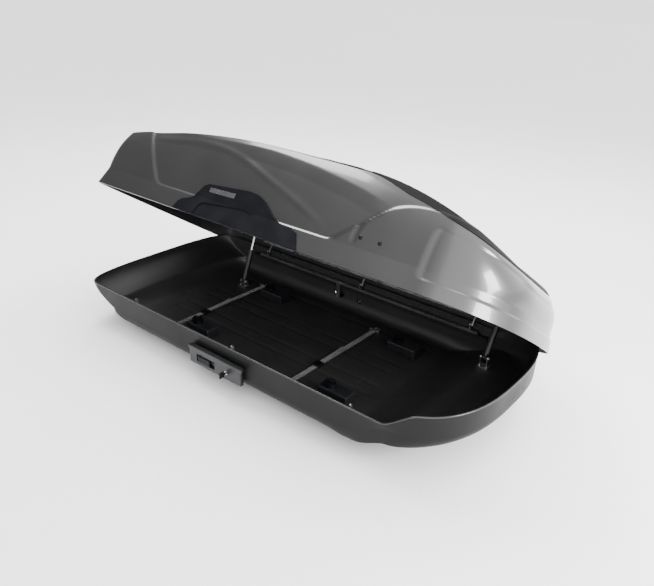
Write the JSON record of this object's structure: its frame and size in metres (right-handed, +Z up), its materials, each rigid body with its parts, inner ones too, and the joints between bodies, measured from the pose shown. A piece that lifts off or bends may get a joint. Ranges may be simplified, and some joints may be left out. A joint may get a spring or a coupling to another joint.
{
  "type": "roof cargo box",
  "caption": "Car roof cargo box with a side-opening hard lid, a deep tray, sliding latch bars, lid lifters and roof-bar clamps.",
  "frame": {"origin": "middle of the tray's flat underside", "axes": "+X to the front (nose), +Y to the far side, where the lid is hinged in the stored pose, +Z up"},
  "size_m": [2.005, 1.0718, 0.9189],
  "materials": {
    "lid_plastic": "metallic titanium-grey gloss",
    "tray_plastic": "satin dark grey",
    "black_plastic": "fine-grained black",
    "black_satin": "satin blue-black",
    "roof_inlay": "textured dark grey",
    "rail_metal": "satin",
    "steel": "zinc-plated",
    "webbing": "woven black webbing"
  },
  "bodies": {
    "tray": {"base_tray": "tray_plastic", "tray_rail_near": "black_plastic", "tray_rail_far": "black_plastic", "lock_housing_near": "black_plastic", "lock_housing_far": "black_plastic", "lifter_foot_front": "steel", "lifter_foot_rear": "steel", "clamp_housing_rear_near": "black_plastic", "clamp_housing_rear_far": "black_plastic", "clamp_housing_front_near": "black_plastic", "clamp_housing_front_far": "black_plastic", "strap_loop_rear_near": "steel", "strap_loop_rear_far": "steel", "strap_loop_front_near": "steel", "strap_loop_front_far": "steel", "strap_rear": "webbing", "strap_front": "webbing", "strap_buckle_rear": "black_satin", "strap_buckle_front": "black_satin"},
    "lid": {"lid_shell": "lid_plastic", "lid_handle_near": "black_satin", "lid_handle_far": "black_satin", "lid_rail_near": "rail_metal", "lid_rail_far": "rail_metal", "roof_inlay_front": "roof_inlay", "roof_inlay_rear": "roof_inlay", "lifter_bracket_front": "rail_metal", "lifter_bracket_rear": "rail_metal"},
    "latch_near": {"latch_bar_near": "rail_metal", "lock_slider_near": "black_satin"},
    "latch_far": {"latch_bar_far": "rail_metal", "lock_slider_far": "black_satin"},
    "lock_near": {"lock_cylinder_near": "steel"},
    "lock_far": {"lock_cylinder_far": "steel"},
    "key": {"key": "black_satin"},
    "lifter_tube_front": {"lifter_tube_front": "black_plastic", "lifter_spring_front": "steel"},
    "lifter_rod_front": {"lifter_rod_front": "steel"},
    "lifter_tube_rear": {"lifter_tube_rear": "black_plastic", "lifter_spring_rear": "steel"},
    "lifter_rod_rear": {"lifter_rod_rear": "steel"},
    "clamp_dial_rear_near": {"clamp_dial_rear_near": "black_satin"},
    "clamp_jaw_rear_near": {"clamp_jaw_rear_near": "steel"},
    "clamp_dial_rear_far": {"clamp_dial_rear_far": "black_satin"},
    "clamp_jaw_rear_far": {"clamp_jaw_rear_far": "steel"},
    "clamp_dial_front_near": {"clamp_dial_front_near": "black_satin"},
    "clamp_jaw_front_near": {"clamp_jaw_front_near": "steel"},
    "clamp_dial_front_far": {"clamp_dial_front_far": "black_satin"},
    "clamp_jaw_front_far": {"clamp_jaw_front_far": "steel"}
  },
  "joints": [
    {"name": "lid_hinge", "type": "hinge", "parent": "tray", "child": "lid", "pos_m": [0, 0.408, 0.15], "axis": [-1, 0, 0], "range_deg": [-32.2, 0], "stiffness_Nm_per_rad": 16, "springref_deg": 137.51},
    {"name": "latch_near_slide", "type": "slide", "parent": "tray", "child": "latch_near", "axis": [1, 0, 0], "range_m": [0, 0.016]},
    {"name": "latch_far_slide", "type": "slide", "parent": "tray", "child": "latch_far", "axis": [1, 0, 0], "range_m": [-0.016, 0]},
    {"name": "lock_near_turn", "type": "hinge", "parent": "tray", "child": "lock_near", "pos_m": [-0.04, -0.43, 0.052], "axis": [0, 1, 0], "range_deg": [0, 90]},
    {"name": "lock_far_turn", "type": "hinge", "parent": "tray", "child": "lock_far", "pos_m": [-0.04, 0.43, 0.052], "axis": [0, -1, 0], "range_deg": [0, 90]},
    {"name": "key_pull", "type": "slide", "parent": "lock_near", "child": "key", "axis": [0, -1, 0], "range_m": [0, 0.035]},
    {"name": "lifter_swing_front", "type": "hinge", "parent": "tray", "child": "lifter_tube_front", "pos_m": [0.71, 0.24, 0.125], "axis": [-1, 0, 0], "range_deg": [-22.12, 0]},
    {"name": "lifter_stroke_front", "type": "slide", "parent": "lifter_tube_front", "child": "lifter_rod_front", "axis": [0, 0.506, 0.8626], "range_m": [-0.0839, 0], "deforming": ["lifter_spring_front"]},
    {"name": "lifter_swing_rear", "type": "hinge", "parent": "tray", "child": "lifter_tube_rear", "pos_m": [-0.64, 0.24, 0.03], "axis": [-1, 0, 0], "range_deg": [-11.71, 0]},
    {"name": "lifter_stroke_rear", "type": "slide", "parent": "lifter_tube_rear", "child": "lifter_rod_rear", "axis": [0, 0.3417, 0.9398], "range_m": [-0.0756, 0], "deforming": ["lifter_spring_rear"]},
    {"name": "clamp_turn_rear_near", "type": "hinge", "parent": "tray", "child": "clamp_dial_rear_near", "pos_m": [-0.45, -0.235, 0.05], "axis": [0, 0, 1], "range_deg": [0, 360]},
    {"name": "clamp_grip_rear_near", "type": "slide", "parent": "tray", "child": "clamp_jaw_rear_near", "axis": [-1, 0, 0], "range_m": [0, 0.03]},
    {"name": "clamp_turn_rear_far", "type": "hinge", "parent": "tray", "child": "clamp_dial_rear_far", "pos_m": [-0.45, 0.235, 0.05], "axis": [0, 0, 1], "range_deg": [0, 360]},
    {"name": "clamp_grip_rear_far", "type": "slide", "parent": "tray", "child": "clamp_jaw_rear_far", "axis": [-1, 0, 0], "range_m": [0, 0.03]},
    {"name": "clamp_turn_front_near", "type": "hinge", "parent": "tray", "child": "clamp_dial_front_near", "pos_m": [0.31, -0.235, 0.05], "axis": [0, 0, 1], "range_deg": [0, 360]},
    {"name": "clamp_grip_front_near", "type": "slide", "parent": "tray", "child": "clamp_jaw_front_near", "axis": [-1, 0, 0], "range_m": [0, 0.03]},
    {"name": "clamp_turn_front_far", "type": "hinge", "parent": "tray", "child": "clamp_dial_front_far", "pos_m": [0.31, 0.235, 0.05], "axis": [0, 0, 1], "range_deg": [0, 360]},
    {"name": "clamp_grip_front_far", "type": "slide", "parent": "tray", "child": "clamp_jaw_front_far", "axis": [-1, 0, 0], "range_m": [0, 0.03]}
  ],
  "couplings": [
    {"joint": "lifter_swing_front", "follows": "lid_hinge", "ratio": 0.68538},
    {"joint": "lifter_stroke_front", "follows": "lid_hinge", "m_per_rad": 0.14883},
    {"joint": "lifter_swing_rear", "follows": "lid_hinge", "ratio": 0.36196},
    {"joint": "lifter_stroke_rear", "follows": "lid_hinge", "m_per_rad": 0.13395},
    {"joint": "clamp_grip_rear_near", "follows": "clamp_turn_rear_near", "m_per_rad": 0.00477},
    {"joint": "clamp_grip_rear_far", "follows": "clamp_turn_rear_far", "m_per_rad": 0.00477},
    {"joint": "clamp_grip_front_near", "follows": "clamp_turn_front_near", "m_per_rad": 0.00477},
    {"joint": "clamp_grip_front_far", "follows": "clamp_turn_front_far", "m_per_rad": 0.00477}
  ]
}
